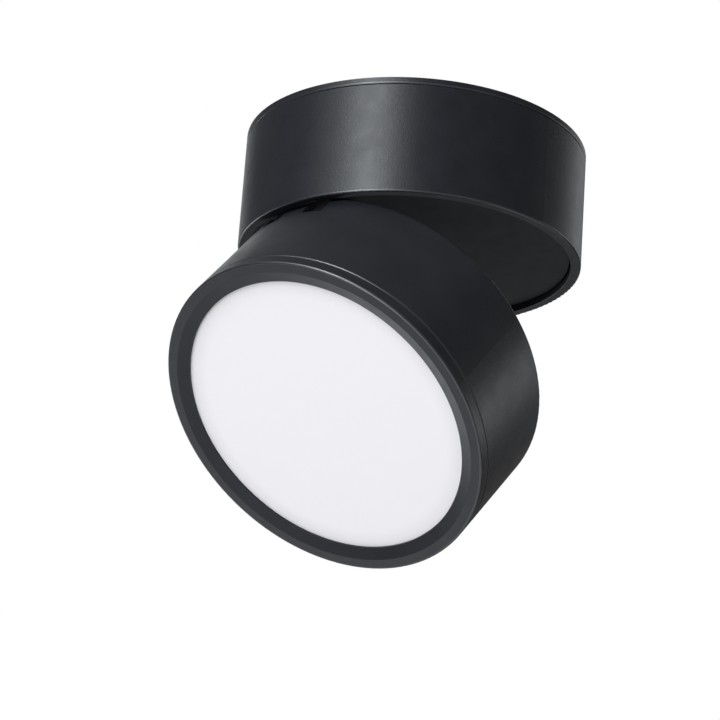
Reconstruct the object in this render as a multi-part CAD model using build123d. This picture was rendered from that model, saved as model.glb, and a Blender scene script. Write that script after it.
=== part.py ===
from build123d import *
import os
from math import asin, cos, degrees, radians, sin, sqrt

# Surface mounted ceiling spotlight, in millimetres, +Z up.
# The origin is the centre of the face that lies on the ceiling. The base hangs below it. The head
# hangs below the base from a hinge at one edge (-Y side) and is shown tilted up by rest_tilt.

# ---- body ----
body_diameter = 100.0
base_height = 35.0
plate_thickness = 2.0
seam_gap = 0.12
base_wall = 2.2
rim_width = 3.0
recess_depth = 2.0
floor_thickness = 2.0
edge_round = 0.6
seam_round = 0.12
inner_edge_round = 0.2
rim_round = 0.6

# ---- clearances ----
turning_gap = 0.3
face_gap = 0.05
bearing_gap = 0.05
screw_gap = 0.2
thread_slack = 0.1
screw_end_gap = 0.6
blind_floor = 0.5

# ---- ceiling plate ----
slot_spacing = 60.0
slot_width = 4.5
slot_length = 10.0
cable_hole_diameter = 16.0
grommet_bore = 8.0
grommet_flange = 2.0
grommet_flange_thickness = 1.2
leg_count = 3
leg_width = 10.0
leg_sheet = 1.5
leg_drop = 7.5
leg_inset = 3.5
foot_reach = 2.6
lug_reach = 2.2
lug_height = 2.0
lug_width = 12.0
lock_screw_diameter = 3.0
lock_screw_level = 3.2

# ---- swivel ----
turntable_thickness = 2.5
glide_thickness = 0.5
glide_inset = 2.7
glide_width = 6.0
stem_diameter = 10.0
stem_bore = 6.0
stem_flat = 0.7
stem_flange_diameter = 16.0
stem_flange_thickness = 1.2
stem_proud = 0.8
washer_diameter = 20.0
washer_thickness = 0.8
stop_plate_diameter = 22.0
stop_plate_thickness = 1.2
stop_radius = 18.0
stop_arm_width = 4.0
stop_arm_end = 2.0
stop_post_diameter = 3.0
stop_post_height = 3.0
spring_diameter = 18.0
spring_sheet = 0.5
spring_rise = 0.6
nut_across_flats = 15.0
nut_thickness = 3.5

# ---- hinge ----
rest_tilt = 40.5
pivot_inset = 3.85
pivot_depth = 4.26
closed_gap = 0.5
pin_diameter = 2.0
pin_head_diameter = 3.4
pin_head_thickness = 0.6
arm_eye_radius = 1.9
arm_meet_angle = 36.87
arm_thickness = 2.9
arm_width = 5.0
cheek_inner = 3.1
cheek_thickness = 1.4
cheek_eye_radius = 2.2
cheek_root = 0.6
hinge_washer_thickness = 0.5
washer_play = 0.1
notch_side_gap = 0.4
notch_gap = 0.35
tab_chamfer_in = 2.6
tab_chamfer_down = 3.5
tab_drop = 1.2
tab_root = 1.4
bracket_thickness = 1.8
bracket_width = 16.0
bracket_tail = 9.0
bracket_foot_length = 13.0
bracket_screw_diameter = 3.0
bracket_screw_head = 5.4
bracket_screw_run = 8.1
bracket_screw_spread = 1.5
bracket_screw_aside = 5.0

# ---- low-voltage lead ----
lead_diameter = 1.6
lead_groove_gap = 0.2
lead_offset = 1.8
lead_stem_bend = 2.5
lead_axis_run = 4.55
lead_drop_run = 4.6
lead_aside_run = 12.0
lead_joint_rise = 1.0
lead_bend = 4.0
lead_tight_bend = 3.0
lead_wide_bend = 20.0
lead_pocket_gap = 1.2
lead_pocket_wall = 0.5
lead_pocket_skin = 0.1
lead_over_plate = 2.7
lead_inboard_run = 6.15
lead_fin_bend = 2.5

# ---- head ----
head_length = 36.0
head_wall = 2.2
head_back = 2.5
bezel_band = 3.5
bezel_face_width = 3.2
opening_inset = 6.6
bezel_cone_depth = 1.1
bezel_lip = 0.7
bezel_spigot_wall = 1.7
bezel_spigot_length = 6.0
thread_gap = 0.1
diffuser_thickness = 2.0
gasket_thickness = 0.6
gasket_width = 1.6
board_depth = 14.5
board_thickness = 1.6
board_edge_gap = 4.3
sink_plate = 2.5
fin_count = 24
fin_thickness = 1.2
fin_hub_radius = 14.0
fin_end_gap = 0.5
fin_root = 0.5
boss_inset = 17.8
boss_diameter = 7.0
boss_count = 3
boss_angle = 90.0
sink_screw_length = 8.0
screw_seat_depth = 1.26
sunk_head_height = 1.08
board_screw_radius = 18.0
board_screw_count = 3
board_screw_angle = 30.0
thread_floor = 0.4
led_ring_count = 3
led_ring_step = 12.0
leds_per_ring_step = 6
led_length = 3.5
led_width = 2.8
led_height = 0.75
reflector_wall = 1.2
reflector_flange = 0.8
reflector_foot_inset = 2.2
reflector_mouth_gap = 0.5

# ---- driver and terminals ----
driver_length = 40.0
driver_depth = 27.0
driver_height = 17.0
driver_wall = 1.5
driver_edge_gap = 8.3
driver_stand = 3.4
driver_ear = 8.0
driver_ear_thickness = 2.0
driver_corner_round = 2.0
driver_post_inset = 0.5
driver_lid_rim = 2.0
driver_lid_rim_wall = 1.0
driver_board_lift = 2.0
driver_board_thickness = 1.6
driver_board_gap = 0.4
driver_foot_width = 2.0
driver_foot_inset = 1.0
driver_foot_start = 12.0
driver_lead_level = 11.9
transformer_aside = 4.0
transformer_width = 12.0
transformer_depth = 13.0
transformer_height = 10.0
transformer_bar = 2.0
winding_radius = 3.9
winding_length = 10.0
capacitor_round = 0.5
large_can_radius = 4.0
large_can_height = 9.5
small_can_radius = 3.2
small_can_height = 8.0
large_can_place = (11.0, 4.5)
small_can_places = ((10.5, -5.5), (-13.5, 5.0))
drive_reach = 0.3
drive_slot = 0.25
drive_depth = 0.5
small_screw_diameter = 3.0
small_screw_head = 5.5
small_screw_head_height = 1.8
terminal_screw_head = 4.6
terminal_length = 30.0
terminal_depth = 14.0
terminal_height = 14.0
terminal_edge_gap = 11.3
terminal_poles = 3
terminal_ear = 5.0
terminal_ear_thickness = 4.0
clamp_bore = 3.8
clamp_bore_depth = 5.0
clamp_screw_diameter = 3.6
clamp_screw_sunk = 1.5
clamp_screw_length = 3.0
clamp_slot = 0.6
clamp_slot_depth = 0.7
wire_mouth = 2.8
wire_mouth_depth = 4.0
wire_mouth_level = 5.0
mains_lead_diameter = 2.2
mains_lead_spread = 11.0
mains_lead_level = 9.5
mains_lead_start = 5.0
mains_lead_rise = 13.0
mains_lead_bend = 6.0
earth_edge_gap = 12.0
earth_forward = 4.6
earth_tag_radius = 3.5
earth_tag_sheet = 0.8
earth_tail_length = 7.5
earth_tail_width = 2.4
earth_tail_start = 2.2
earth_lead_diameter = 1.8
earth_lead_start = 3.6
earth_lead_aside = 18.0
earth_lead_drop = 8.0
earth_lead_lift = 1.3
earth_lead_bends = (2.0, 4.0, 4.0)
lock_screw_sunk = 0.2
lock_screw_socket = 0.85
lock_screw_socket_depth = 1.5

# ---- radii and levels that follow from the sizes ----
body_radius = body_diameter / 2
shell_inner = body_radius - base_wall
rim_inner = body_radius - rim_width
plate_bottom = -plate_thickness
shell_top = plate_bottom - seam_gap
rim_level = -base_height
turntable_bottom = rim_level + recess_depth
turntable_top = turntable_bottom + turntable_thickness
turntable_radius = rim_inner - turning_gap
floor_bottom = turntable_top + glide_thickness + 2 * face_gap
floor_top = floor_bottom + floor_thickness
washer_bottom = floor_top + face_gap
stop_bottom = washer_bottom + washer_thickness
stop_top = stop_bottom + stop_plate_thickness
nut_bottom = stop_top + spring_sheet + spring_rise
nut_top = nut_bottom + nut_thickness
stem_top = nut_top + stem_proud
lead_joint_level = stem_top + lead_joint_rise
stem_radius = stem_diameter / 2
glide_radius = turntable_radius - glide_inset
driver_bottom = floor_top + driver_stand
driver_top = driver_bottom + driver_height
driver_middle = shell_inner - driver_edge_gap - driver_depth / 2
driver_front = driver_middle - driver_depth / 2
terminal_middle = shell_inner - terminal_edge_gap - terminal_depth / 2
terminal_front = -terminal_middle + terminal_depth / 2
wire_level = floor_top + wire_mouth_level

head_level = rim_level - closed_gap
pivot_y = -(body_radius - pivot_inset)
pivot_z = head_level - pivot_depth
cheek_outer = cheek_inner + cheek_thickness
arm_inner = cheek_outer + hinge_washer_thickness + 2 * washer_play
arm_outer = arm_inner + arm_width
notch_outer = arm_outer + pin_head_thickness + notch_side_gap
lead_radius = lead_diameter / 2
lead_top_y = pivot_y + lead_axis_run + lead_drop_run
lead_pocket_edge = lead_top_y - lead_radius + lead_pocket_gap
arm_corner = turntable_radius - screw_gap
arm_front = -sqrt(arm_corner ** 2 - arm_outer ** 2)
shell_front = bezel_band + seam_gap
head_inner = body_radius - head_wall
board_front = -(board_depth + board_thickness)
opening_radius = body_radius - opening_inset
board_radius = head_inner - board_edge_gap
boss_radius = head_inner - boss_inset
spigot_outer = head_inner - thread_gap
spigot_inner = spigot_outer - bezel_spigot_wall
diffuser_front = -(head_length - bezel_cone_depth - bezel_lip)
diffuser_back = diffuser_front + diffuser_thickness
gasket_back = diffuser_back + gasket_thickness
flange_back = gasket_back + reflector_flange
seat_radius = spigot_inner - turning_gap


def disc(radius, bottom, top, x=0.0, y=0.0):
    """A plain round solid between two levels."""
    return Pos(x, y, (bottom + top) / 2) * Cylinder(radius, top - bottom)


def ring(outer, inner, bottom, top, x=0.0, y=0.0):
    """A flat ring between two levels."""
    return disc(outer, bottom, top, x, y) - disc(inner, bottom - 1, top + 1, x, y)


def block(x0, x1, y0, y1, z0, z1):
    """A box between two corners."""
    centre = Pos((x0 + x1) / 2, (y0 + y1) / 2, (z0 + z1) / 2)
    return centre * Box(x1 - x0, y1 - y0, z1 - z0)


def cross_bar(radius, x0, x1, y, z):
    """A round bar along X."""
    return Pos((x0 + x1) / 2, y, z) * Rot(0, 90, 0) * Cylinder(radius, abs(x1 - x0))


def turned(*points):
    """A solid of revolution about Z from an outline of (radius, level) points."""
    outline = Polyline(*points, close=True)
    return revolve(Plane.XZ * make_face(outline), Axis.Z)


def prism_along_x(points, x0, x1):
    """An outline of (y, z) points, pushed along X."""
    face = make_face(Polyline(*[(x0, y, z) for y, z in points], close=True))
    return extrude(face, amount=x1 - x0, dir=(1, 0, 0))


def tube(points, bends, radius):
    """A round lead along straight runs joined by arcs."""
    route = FilletPolyline(*points, radius=bends)
    section = Plane(origin=route @ 0, z_dir=route % 0) * Circle(radius)
    return sweep(section, path=route)


def round_edges(part, radius, level, size):
    """Round the circular edge of one radius at one level."""
    circles = part.edges().filter_by(GeomType.CIRCLE)
    chosen = [edge for edge in circles
              if abs(edge.radius - radius) < 0.01 and abs(edge.center().Z - level) < 0.01]
    return fillet(chosen, size)


def around(count, first=0.0):
    """Evenly spaced angles in degrees."""
    return [first + 360.0 * step / count for step in range(count)]


def on_circle(radius, angle):
    """The X and Y of a point at an angle on a circle."""
    return radius * cos(radians(angle)), radius * sin(radians(angle))


def cross_drive(diameter, head, bottom, top):
    """The cross-shaped recess of a screw head, sized by the head and the shank."""
    arm = head * drive_reach
    half = diameter * drive_slot / 2
    bar = block(-arm, arm, -half, half, bottom, top)
    return bar + Rot(0, 0, 90) * bar


def pan_screw(diameter, head, head_height, length):
    """A cross-head screw, head above Z=0 and shank below it."""
    body = disc(head / 2, 0, head_height) + disc(diameter / 2, -length, 0)
    return body - cross_drive(diameter, head, head_height * (1 - drive_depth), head_height + 1)


def countersunk_body(diameter, head, length):
    """A countersunk screw without its drive, head face at Z=0 and shank below it."""
    drop = (head - diameter) / 2
    return turned((0, 0), (head / 2, 0), (diameter / 2, -drop), (diameter / 2, -length), (0, -length))


def countersunk_screw(diameter, head, length):
    """A countersunk screw with a cross drive."""
    drop = (head - diameter) / 2
    return countersunk_body(diameter, head, length) - cross_drive(diameter, head, -drop * drive_depth, 1)


def tilted(piece):
    """Put a piece of the head, made with its back face at Z=0, at the tilted rest pose."""
    return Pos(0, pivot_y, pivot_z) * Rot(-rest_tilt, 0, 0) * Pos(0, -pivot_y, -pivot_z + head_level) * piece


# ---- routes of the low-voltage lead ----
def swivel_route():
    """Down the hollow stem, under the turntable to the edge, then down to the hinge axis."""
    aside = -lead_offset
    points = [(0, 0, lead_joint_level), (0, 0, turntable_bottom), (aside, -lead_aside_run, turntable_bottom),
              (aside, lead_top_y, turntable_bottom), (aside, pivot_y + lead_axis_run, pivot_z),
              (aside, pivot_y, pivot_z), (0, pivot_y, pivot_z)]
    return points, [lead_stem_bend, lead_wide_bend, lead_bend, lead_tight_bend, lead_offset - face_gap]


def head_route():
    """From the hinge axis down behind the heat sink fins and through to the board."""
    turn_level = -(board_depth - sink_plate - lead_over_plate)
    inboard = pivot_y + lead_inboard_run
    points = [(0, pivot_y, -pivot_depth), (lead_offset, pivot_y, -pivot_depth),
              (lead_offset, pivot_y, turn_level), (lead_offset, inboard, turn_level),
              (lead_offset, inboard, board_front - led_height)]
    return points, [lead_offset - face_gap, lead_fin_bend, lead_fin_bend]


def base_route():
    """From the driver to the swivel axis, then down to the stem."""
    level = driver_bottom + driver_lead_level
    return [(0, driver_front, level), (0, 0, level), (0, 0, lead_joint_level)], [lead_bend]


# ---- base ----
def make_ceiling_plate():
    plate = disc(body_radius, plate_bottom, 0)
    plate = round_edges(plate, body_radius, plate_bottom, edge_round)
    plate -= disc(cable_hole_diameter / 2, plate_bottom - 1, 1)
    straight = slot_length - slot_width
    for side in (-1, 1):
        middle = side * slot_spacing / 2
        plate -= block(middle - straight / 2, middle + straight / 2,
                       -slot_width / 2, slot_width / 2, plate_bottom - 1, 1)
        for end in (-1, 1):
            plate -= disc(slot_width / 2, plate_bottom - 1, 1, middle + end * straight / 2)
    outer = shell_inner - leg_inset
    for angle in around(leg_count, 90):
        strip = block(outer - leg_sheet, outer, -leg_width / 2, leg_width / 2,
                      plate_bottom - leg_drop, plate_bottom)
        foot = block(outer - leg_sheet, outer + foot_reach, -leg_width / 2, leg_width / 2,
                     plate_bottom - leg_drop, plate_bottom - leg_drop + leg_sheet)
        plate += Rot(0, 0, angle) * (strip + foot)
    return plate


def make_cable_grommet():
    sleeve = ring(cable_hole_diameter / 2 - bearing_gap, grommet_bore / 2, plate_bottom, -bearing_gap)
    flange = ring(cable_hole_diameter / 2 + grommet_flange, grommet_bore / 2,
                  plate_bottom - grommet_flange_thickness, plate_bottom)
    return sleeve + flange


def driver_post_places():
    """Centres of the two posts that carry the driver."""
    reach = driver_length / 2 + driver_ear / 2
    return [(-reach, driver_middle), (reach, driver_middle)]


def make_base_shell():
    foot_top = plate_bottom - leg_drop + leg_sheet
    shell = disc(body_radius, rim_level, shell_top)
    shell = round_edges(shell, body_radius, shell_top, seam_round)
    shell = round_edges(shell, body_radius, rim_level, rim_round)
    shell -= disc(shell_inner, floor_top, shell_top + 1)
    shell -= disc(rim_inner, rim_level - 1, floor_bottom)
    shell = round_edges(shell, rim_inner, rim_level, inner_edge_round)
    shell -= disc(stem_radius + bearing_gap, floor_bottom - 1, floor_top + 1)
    shell += disc(stop_post_diameter / 2, floor_top, floor_top + stop_post_height, 0, stop_radius)
    wall_ring = ring(shell_inner + base_wall / 2, shell_inner - lug_reach,
                     foot_top + face_gap, foot_top + face_gap + lug_height)
    for angle in around(leg_count, 90):
        sector = Rot(0, 0, angle) * block(0, body_radius, -lug_width / 2, lug_width / 2,
                                          foot_top, foot_top + 2 * lug_height)
        shell += wall_ring & sector
    for x, y in driver_post_places():
        shell += disc(driver_ear / 2 - driver_post_inset, floor_top, driver_bottom, x, y)
        shell -= disc(small_screw_diameter / 2, floor_top + blind_floor, driver_bottom + 1, x, y)
    for x, y in terminal_screw_places() + [earth_place()]:
        shell -= disc(small_screw_diameter / 2, floor_bottom + blind_floor, floor_top + 1, x, y)
    level = plate_bottom - lock_screw_level
    hole = Pos(0, body_radius, level) * Rot(90, 0, 0) * Cylinder(lock_screw_diameter / 2, 4 * base_wall)
    return shell - hole


def make_lock_screw():
    """A headless screw through the wall, its tip just clear of the leg behind it."""
    level = plate_bottom - lock_screw_level
    tip = shell_inner - leg_inset + face_gap
    tail = body_radius - lock_screw_sunk
    body = Pos(0, (tip + tail) / 2, level) * Rot(90, 0, 0) * Cylinder(lock_screw_diameter / 2, tail - tip)
    hexagon = extrude(RegularPolygon(lock_screw_socket, 6), amount=lock_screw_socket_depth, both=True)
    return body - Pos(0, tail, level) * Rot(90, 0, 0) * hexagon


def terminal_screw_places():
    """Centres of the two screws that hold the terminal block, in its end ears."""
    reach = (terminal_length - terminal_ear) / 2
    return [(-reach, -terminal_middle), (reach, -terminal_middle)]


def pole_places():
    """Centres of the clamping screws, two for each pole."""
    pitch = (terminal_length - 2 * terminal_ear) / terminal_poles
    places = []
    for pole in range(terminal_poles):
        x = (pole - (terminal_poles - 1) / 2) * pitch
        for side in (-1, 1):
            places.append((x, -terminal_middle + side * terminal_depth / 4))
    return places


def pole_row():
    """Where the poles lie along the terminal block."""
    return sorted({x for x, y in pole_places()})


def make_terminal_block():
    top = floor_top + terminal_height
    half = terminal_length / 2
    back = terminal_front - terminal_depth
    body = block(-half, half, back, terminal_front, floor_top, top)
    for side in (-1, 1):
        inner, outer = sorted((side * (half - terminal_ear), side * (half + 1)))
        body -= block(inner, outer, back - 1, terminal_front + 1,
                      floor_top + terminal_ear_thickness, top + 1)
    for x, y in terminal_screw_places():
        body -= disc(small_screw_diameter / 2 + screw_gap, floor_top - 1, top, x, y)
    for x, y in pole_places():
        body -= disc(clamp_bore / 2, top - clamp_bore_depth, top + 1, x, y)
        face = terminal_front if y > -terminal_middle else back
        body -= Pos(x, face, wire_level) * Rot(90, 0, 0) * Cylinder(wire_mouth / 2, 2 * wire_mouth_depth)
    return body


def make_terminal_screws():
    """Slotted clamping screws, sunk in the block's top."""
    top = floor_top + terminal_height - clamp_screw_sunk
    screws = []
    for x, y in pole_places():
        screw = disc(clamp_screw_diameter / 2, top - clamp_screw_length, top, x, y)
        slot = block(x - clamp_bore, x + clamp_bore, y - clamp_slot / 2, y + clamp_slot / 2,
                     top - clamp_slot_depth, top + 1)
        screws.append(screw - slot)
    return Compound(screws)


def make_base_screws():
    """Two screws in the driver's ears and two in the terminal block's ends."""
    shank = small_screw_diameter - thread_slack
    long = pan_screw(shank, small_screw_head, small_screw_head_height,
                     driver_ear_thickness + driver_stand - screw_end_gap)
    short = pan_screw(shank, terminal_screw_head, small_screw_head_height,
                      terminal_ear_thickness + floor_thickness - screw_end_gap)
    screws = [Pos(x, y, driver_bottom + driver_ear_thickness) * long for x, y in driver_post_places()]
    screws += [Pos(x, y, floor_top + terminal_ear_thickness) * short for x, y in terminal_screw_places()]
    return Compound(screws)


def driver_box(margin, bottom, top):
    """The driver's outline, made smaller by a margin."""
    half = driver_length / 2 - margin
    deep = driver_depth / 2 - margin
    return block(-half, half, driver_middle - deep, driver_middle + deep, bottom, top)


def make_driver_case():
    lid_level = driver_top - driver_wall
    case = driver_box(0, driver_bottom, lid_level)
    case = fillet(case.edges().filter_by(Axis.Z), driver_corner_round)
    case -= driver_box(driver_wall, driver_bottom + driver_wall, driver_top)
    for x, y in driver_post_places():
        ear = block(x - driver_ear / 2, x + driver_ear / 2, y - driver_ear / 2, y + driver_ear / 2,
                    driver_bottom, driver_bottom + driver_ear_thickness)
        case += ear - driver_box(driver_wall / 2, driver_bottom - 1, driver_top)
        case -= disc(small_screw_diameter / 2 + screw_gap, driver_bottom - 1,
                     driver_bottom + driver_ear_thickness + 1, x, y)
    lead_holes = [(base_route()[0][0], lead_radius)]
    lead_holes += [(mains_route(side)[0][-1], mains_lead_diameter / 2) for side in (-1, 1)]
    for place, radius in lead_holes:
        case -= Pos(*place) * Rot(90, 0, 0) * Cylinder(radius + screw_gap, 4 * driver_wall)
    return case


def make_driver_lid():
    lid_level = driver_top - driver_wall
    lid = driver_box(0, lid_level, driver_top)
    lid = fillet(lid.edges().filter_by(Axis.Z), driver_corner_round)
    inside = driver_wall + bearing_gap
    rim = driver_box(inside, lid_level - driver_lid_rim, lid_level)
    rim -= driver_box(inside + driver_lid_rim_wall, lid_level - driver_lid_rim - 1, lid_level)
    return lid + rim


def board_level():
    """Upper face of the driver's circuit board."""
    return driver_bottom + driver_wall + driver_board_lift + driver_board_thickness


def make_driver_board():
    """A board on two short feet, one at each end."""
    margin = driver_wall + driver_board_gap
    board_bottom = board_level() - driver_board_thickness
    board = driver_box(margin, board_bottom, board_level())
    inset = margin + driver_foot_inset
    feet = driver_box(inset, driver_bottom + driver_wall, board_bottom)
    feet -= driver_box(inset + driver_foot_width, driver_bottom, driver_top)
    feet -= block(-driver_foot_start, driver_foot_start, 0, body_radius, driver_bottom, driver_top)
    return board + feet


def make_driver_transformer():
    """A square core round one winding on its middle bar."""
    level = board_level()
    left = -transformer_aside - transformer_width / 2
    right = left + transformer_width
    half = transformer_depth / 2
    middle = level + transformer_height / 2
    core = block(left, right, driver_middle - half, driver_middle + half, level, level + transformer_height)
    window = block(left - 1, right + 1, driver_middle - half + transformer_bar,
                   driver_middle + half - transformer_bar, level + transformer_bar,
                   level + transformer_height - transformer_bar)
    sides = (transformer_width - winding_length) / 2
    winding = cross_bar(winding_radius, left + sides, right - sides, driver_middle, middle) & window
    return (core - window) + winding + cross_bar(transformer_bar, left, right, driver_middle, middle)


def make_driver_capacitors():
    cans = [(large_can_place, large_can_radius, large_can_height)]
    cans += [(place, small_can_radius, small_can_height) for place in small_can_places]
    solids = []
    for (x, y), radius, height in cans:
        can = disc(radius, board_level(), board_level() + height, x, driver_middle + y)
        solids.append(fillet(can.edges().sort_by(Axis.Z)[-1], capacitor_round))
    return Compound(solids)


def mains_route(side):
    """From the left or the middle pole of the terminal block past the swivel nut to the driver."""
    poles = pole_row()
    pole = poles[0] if side < 0 else poles[1]
    x = side * mains_lead_spread
    high = driver_bottom + mains_lead_level
    points = [(pole, terminal_front, wire_level), (pole, terminal_front + mains_lead_start, wire_level),
              (x, terminal_front + mains_lead_rise, high), (x, driver_front, high)]
    return points, [mains_lead_bend, mains_lead_bend]


def make_mains_leads():
    return Compound([tube(*mains_route(side), mains_lead_diameter / 2) for side in (-1, 1)])


def earth_place():
    """Centre of the earth screw on the floor, a little in front of the terminal block."""
    y = terminal_front + earth_forward
    return sqrt((shell_inner - earth_edge_gap) ** 2 - y ** 2), y


def make_earth_screw():
    x, y = earth_place()
    screw = pan_screw(small_screw_diameter - thread_slack, small_screw_head, small_screw_head_height,
                      earth_tag_sheet + floor_thickness - screw_end_gap)
    return Pos(x, y, floor_top + earth_tag_sheet) * screw


def make_earth_lead():
    """From the last pole, high over the turning stop arm, then down to a ring tag."""
    x, y = earth_place()
    hole = small_screw_diameter / 2 + thread_slack
    tag_top = floor_top + earth_tag_sheet
    tag = ring(earth_tag_radius, hole, floor_top, tag_top, x, y)
    tail = block(x - earth_tail_length, x - earth_tail_start, y - earth_tail_width / 2,
                 y + earth_tail_width / 2, floor_top, tag_top)
    level = floor_top + earth_lead_lift
    pole = pole_row()[-1]
    bend = x - earth_lead_aside
    route = [(pole, terminal_front, wire_level), (pole, terminal_front + earth_lead_start, wire_level),
             (bend, y, wire_level), (bend + earth_lead_drop, y, level),
             (x - earth_tail_length + earth_tail_start, y, level)]
    return tag + tail + tube(route, list(earth_lead_bends), earth_lead_diameter / 2)


def make_lead_in_base():
    return tube(*base_route(), lead_radius)


# ---- swivel ----
def lead_channel():
    """Space for the lead through stem, turntable and bracket."""
    return tube(*swivel_route(), lead_radius + lead_groove_gap)


def bracket_screw_places():
    """Centres of the countersunk screws of the hinge bracket."""
    side = bracket_width / 2 - bracket_screw_head / 2
    wide = side + bracket_screw_spread
    foot = pivot_y + arm_thickness + bracket_screw_run
    bar = -lead_aside_run - bracket_screw_aside
    return [(-side, bar), (side, bar), (-wide, foot), (wide, foot)]


def make_turntable():
    plate = disc(turntable_radius, turntable_bottom, turntable_top)
    plate = round_edges(plate, turntable_radius, turntable_bottom, inner_edge_round)
    plate -= disc(stem_radius, turntable_bottom - 1, turntable_top + 1)
    plate -= disc(stem_flange_diameter / 2, turntable_bottom - 1, turntable_bottom + stem_flange_thickness)
    for x, y in bracket_screw_places():
        plate -= disc(bracket_screw_diameter / 2, turntable_bottom - 1, turntable_top - thread_floor, x, y)
    return plate - lead_channel()


def make_swivel_stem():
    stem = disc(stem_radius, turntable_bottom, stem_top)
    stem += disc(stem_flange_diameter / 2, turntable_bottom, turntable_bottom + stem_flange_thickness)
    stem -= disc(stem_bore / 2, turntable_bottom - 1, stem_top + 1)
    for side in (-1, 1):
        flat = sorted((side * (stem_radius - stem_flat), side * (stem_radius + 1)))
        stem -= block(*flat, -stem_radius, stem_radius, stop_bottom, stem_top + 1)
    return stem - lead_channel()


def make_glide_ring():
    bottom = turntable_top + face_gap
    return ring(glide_radius, glide_radius - glide_width, bottom, bottom + glide_thickness)


def make_friction_washer():
    return ring(washer_diameter / 2, stem_radius + bearing_gap, washer_bottom, stop_bottom)


def make_stop_plate():
    """A washer keyed to the stem's flats, with an arm that turns against the post."""
    plate = disc(stop_plate_diameter / 2, stop_bottom, stop_top)
    plate += block(-stop_arm_width / 2, stop_arm_width / 2, -stop_radius - stop_arm_end, 0,
                   stop_bottom, stop_top)
    keyed = disc(stem_radius + bearing_gap, stop_bottom - 1, stop_top + 1)
    flat = stem_radius - stem_flat + bearing_gap
    keyed &= block(-flat, flat, -stem_diameter, stem_diameter, stop_bottom - 1, stop_top + 1)
    return plate - keyed


def make_disc_spring():
    inner = stem_radius + screw_gap
    outer = spring_diameter / 2
    return turned((inner, stop_top + spring_rise), (outer, stop_top), (outer, stop_top + spring_sheet),
                  (inner, nut_bottom))


def make_stem_nut():
    corner = nut_across_flats / sqrt(3)
    nut = Pos(0, 0, nut_bottom) * extrude(RegularPolygon(corner, 6), amount=nut_thickness)
    bevel = corner - nut_across_flats / 2
    nut &= turned((0, nut_bottom), (corner, nut_bottom), (corner, nut_top - bevel),
                  (nut_across_flats / 2, nut_top), (0, nut_top))
    return nut - disc(stem_radius + bearing_gap, nut_bottom - 1, nut_top + 1)


def make_hinge_arm(side):
    """One arm: down from the bar inside the rim, then out to the eye round the hinge axis."""
    inner, outer = sorted((side * arm_inner, side * arm_outer))
    back = arm_front + arm_thickness
    meet_y = pivot_y - arm_eye_radius * cos(radians(arm_meet_angle))
    meet_z = pivot_z + arm_eye_radius * sin(radians(arm_meet_angle))
    outline = [(back, turntable_bottom), (arm_front, turntable_bottom), (arm_front, rim_level - closed_gap),
               (meet_y, meet_z), (pivot_y, pivot_z),
               (pivot_y + arm_eye_radius, pivot_z), (back, pivot_z + arm_eye_radius)]
    return prism_along_x(outline, inner, outer) + cross_bar(arm_eye_radius, inner, outer, pivot_y, pivot_z)


def make_hinge_bracket():
    """A bar under the turntable that covers the lead, with a wide foot and two arms at the edge."""
    bottom = turntable_bottom - bracket_thickness
    foot_back = arm_front + bracket_foot_length
    half = bracket_width / 2
    bracket = block(-half, half, foot_back - 1, bracket_tail, bottom, turntable_bottom)
    bracket += block(-arm_outer, arm_outer, arm_front, foot_back, bottom, turntable_bottom)
    seat = countersunk_body(bracket_screw_diameter + screw_gap, bracket_screw_head + screw_gap,
                            2 * bracket_thickness)
    for x, y in bracket_screw_places():
        bracket -= Pos(x, y, bottom) * Rot(180, 0, 0) * seat
    bracket -= lead_channel()
    for side in (-1, 1):
        bracket += make_hinge_arm(side)
    bore = cross_bar(pin_diameter / 2 + bearing_gap / 2, -arm_outer - 1, arm_outer + 1, pivot_y, pivot_z)
    return bracket - bore


def make_bracket_screws():
    screw = countersunk_screw(bracket_screw_diameter - thread_slack, bracket_screw_head,
                              bracket_thickness + turntable_thickness - screw_end_gap)
    bottom = turntable_bottom - bracket_thickness
    return Compound([Pos(x, y, bottom) * Rot(180, 0, 0) * screw for x, y in bracket_screw_places()])


def make_hinge_pins():
    """One short pin a side, through the arm and into the cheek, with its head outside."""
    pins = []
    for side in (-1, 1):
        shank = cross_bar(pin_diameter / 2, side * (cheek_inner + bearing_gap), side * arm_outer,
                          pivot_y, pivot_z)
        head = cross_bar(pin_head_diameter / 2, side * arm_outer, side * (arm_outer + pin_head_thickness),
                         pivot_y, pivot_z)
        pins.append(shank + head)
    return Compound(pins)


def make_lead_in_swivel():
    return tube(*swivel_route(), lead_radius)


# ---- head, made with its back face at Z=0 and its front at -head_length ----
def boss_places():
    """Centres of the bosses that carry the heat sink."""
    return [on_circle(boss_radius, angle) for angle in around(boss_count, boss_angle)]


def board_screw_places():
    """Centres of the screws that hold the board to the heat sink."""
    return [on_circle(board_screw_radius, angle) for angle in around(board_screw_count, board_screw_angle)]


def notch(side):
    """The slot in the head's back edge that one hinge arm enters."""
    inner, outer = sorted((side * cheek_outer, side * notch_outer))
    depth = pivot_depth + arm_eye_radius + 2 * notch_gap
    return block(inner, outer, -body_radius - 1, arm_front + arm_thickness + notch_gap, -depth, 1)


def edge_chamfer():
    """The flat bevel across the back edge at the hinge, which clears the base as the head tilts."""
    steep = tab_chamfer_in / tab_chamfer_down
    outside = -body_radius - notch_gap
    low = -tab_chamfer_down - notch_gap / steep
    outline = [(-body_radius + tab_chamfer_in + steep, 1.0), (outside, low),
               (outside - 2 * notch_gap, low), (outside - 2 * notch_gap, 1.0)]
    return prism_along_x(outline, -body_radius, body_radius)


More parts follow.
